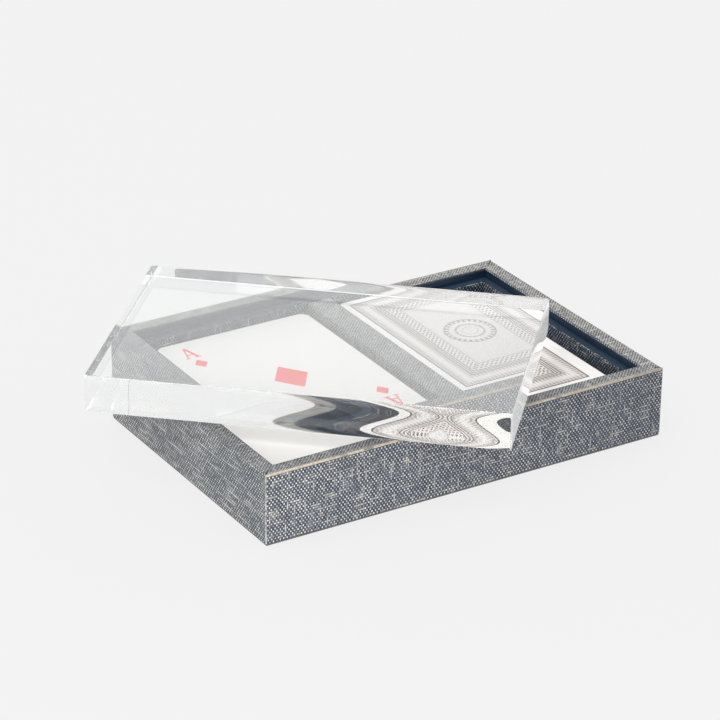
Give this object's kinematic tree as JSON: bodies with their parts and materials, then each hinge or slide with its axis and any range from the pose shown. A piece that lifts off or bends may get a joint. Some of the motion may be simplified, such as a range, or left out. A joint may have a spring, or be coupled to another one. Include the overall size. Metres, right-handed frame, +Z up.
{
  "type": "playing card tray with clear lid",
  "caption": "Shallow linen-clad tray with side-by-side wells for decks of playing cards and a thick clear slab lid that drops into a rebate inside the rim.",
  "frame": {"origin": "on the table, under the middle of the tray's base felt", "axes": "+X along the long front side, +Y from the front to the back, +Z up"},
  "size_m": [0.1952, 0.1724, 0.041],
  "materials": {
    "linen": "plain-woven indigo and natural linen on a paper backing",
    "navy_lacquer": "satin navy lacquer on fibreboard",
    "fibreboard": "bare fibreboard",
    "felt": "dense wool felt",
    "clear_acrylic": "clear cast acrylic with polished edges",
    "card_stock": "white coated card stock, printed"
  },
  "bodies": {
    "tray": {"base_panel": "fibreboard", "base_felt": "felt", "corner_splines": "fibreboard", "front_wall": "navy_lacquer", "back_wall": "navy_lacquer", "left_wall": "navy_lacquer", "right_wall": "navy_lacquer", "front_ledge_rail": "navy_lacquer", "back_ledge_rail": "navy_lacquer", "left_ledge_rail": "navy_lacquer", "right_ledge_rail": "navy_lacquer", "divider_core": "fibreboard", "divider_linen": "linen", "front_linen": "linen", "back_linen": "linen", "left_linen": "linen", "right_linen": "linen", "front_rim_linen": "linen", "back_rim_linen": "linen", "left_well_front_lining": "linen", "left_well_back_lining": "linen", "left_well_end_lining": "linen", "left_well_floor": "felt", "right_well_front_lining": "linen", "right_well_back_lining": "linen", "right_well_end_lining": "linen", "right_well_floor": "felt"},
    "lid": {"lid_slab": "clear_acrylic"},
    "left_deck": {"ace_card": "card_stock", "left_deck_cards": "card_stock"},
    "right_deck": {"backed_card": "card_stock", "right_deck_cards": "card_stock"}
  },
  "joints": [
    {"name": "lid_lift", "type": "slide", "parent": "tray", "child": "lid", "axis": [0, 0, 1], "range_m": [0, 0.1]},
    {"name": "left_deck_lift", "type": "slide", "parent": "tray", "child": "left_deck", "axis": [0, 0, 1], "range_m": [0, 0.036]},
    {"name": "right_deck_lift", "type": "slide", "parent": "tray", "child": "right_deck", "axis": [0, 0, 1], "range_m": [0, 0.036]}
  ],
  "couplings": [
    {"joint": "left_deck_lift", "follows": "lid_lift", "ratio": 0.36},
    {"joint": "right_deck_lift", "follows": "lid_lift", "ratio": 0.36}
  ]
}
